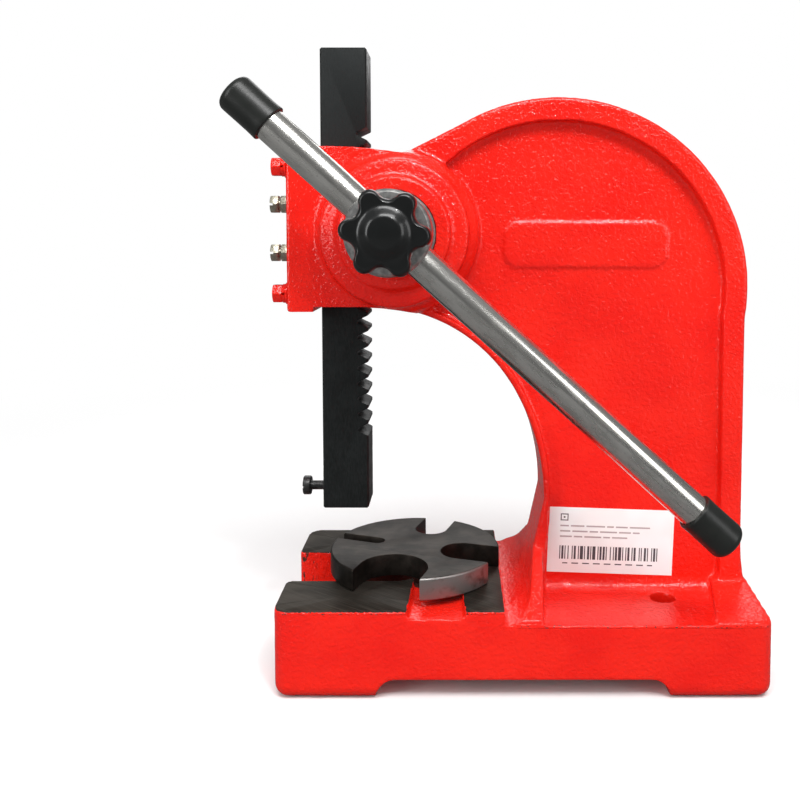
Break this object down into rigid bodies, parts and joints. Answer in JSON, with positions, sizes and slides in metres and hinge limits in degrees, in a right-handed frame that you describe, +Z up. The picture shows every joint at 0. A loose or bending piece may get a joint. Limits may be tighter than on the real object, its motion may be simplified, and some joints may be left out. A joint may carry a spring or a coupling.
{
  "type": "arbor press",
  "caption": "Hand-operated bench arbor press: cast C-frame with slotted base, toothed square ram, pinion shaft with sliding lever bar and clamp knob, and a round slotted table plate.",
  "frame": {"origin": "on the bench, midway between the two bench bolt holes in the rear foot", "axes": "+Z up along the ram; -X towards the ram and the table's open end, +X towards the column's back; the lever is on the -Y side"},
  "size_m": [0.29, 0.1735, 0.3571],
  "materials": {
    "red_enamel": "glossy red enamel over rough sand casting, machined faces bare",
    "painted_fastener": "red enamel over steel",
    "zinc_steel": "zinc-plated, slightly dull",
    "gib_steel": "ground",
    "blackened_steel": "black oxide, worn on the teeth",
    "turned_steel": "turned and polished",
    "plated_lever": "bright plated, long drawn grain",
    "black_vinyl": "satin black",
    "black_bakelite": "glossy black moulded",
    "phosphated_iron": "dark phosphated, bright at worn edges",
    "label_paper": "white coated paper"
  },
  "bodies": {
    "frame": {"frame_casting": "red_enamel", "cover_plate": "red_enamel", "gib_strip": "gib_steel", "cover_bolts": "painted_fastener", "cover_bolt_washers": "painted_fastener", "cover_bolt_lock_washers": "painted_fastener", "upper_adjusting_screw": "zinc_steel", "lower_adjusting_screw": "zinc_steel", "upper_lock_nut": "zinc_steel", "lower_lock_nut": "zinc_steel", "info_label": "label_paper"},
    "ram": {"ram": "blackened_steel"},
    "tool_screw": {"tool_clamp_screw": "blackened_steel"},
    "pinion": {"pinion_shaft": "turned_steel", "shaft_end_washer": "turned_steel", "shaft_end_bolt": "zinc_steel"},
    "lever": {"lever_bar": "plated_lever", "upper_lever_cap": "black_vinyl", "lower_lever_cap": "black_vinyl"},
    "clamp_stud": {"knob_stud": "turned_steel"},
    "knob": {"star_knob": "black_bakelite"},
    "table_plate": {"arbor_plate": "phosphated_iron"}
  },
  "joints": [
    {"name": "pinion_spin", "type": "hinge", "parent": "frame", "child": "pinion", "pos_m": [-0.15326, 0, 0.2507], "axis": [0, 1, 0], "range_deg": [-76, 283]},
    {"name": "ram_slide", "type": "slide", "parent": "frame", "child": "ram", "axis": [0, 0, 1], "range_m": [-0.027, 0.1]},
    {"name": "tool_screw_turn", "type": "hinge", "parent": "ram", "child": "tool_screw", "pos_m": [-0.1974, 0, 0.0987], "axis": [-1, 0, 0], "range_deg": [0, 720]},
    {"name": "lever_slide", "type": "slide", "parent": "pinion", "child": "lever", "axis": [0.7385, 0, -0.6743], "range_m": [-0.19, 0.058]},
    {"name": "stud_travel", "type": "slide", "parent": "pinion", "child": "clamp_stud", "axis": [0, -1, 0], "range_m": [0, 0.00187]},
    {"name": "knob_turn", "type": "hinge", "parent": "clamp_stud", "child": "knob", "pos_m": [-0.15326, -0.1, 0.2507], "axis": [0, -1, 0], "range_deg": [0, 450]},
    {"name": "plate_turn", "type": "hinge", "parent": "frame", "child": "table_plate", "pos_m": [-0.144, 0, 0.0487], "axis": [0, 0, 1], "continuous": true}
  ],
  "couplings": [
    {"joint": "ram_slide", "follows": "pinion_spin", "m_per_rad": 0.020232},
    {"joint": "knob_turn", "follows": "stud_travel", "rad_per_m": 4188.8}
  ]
}
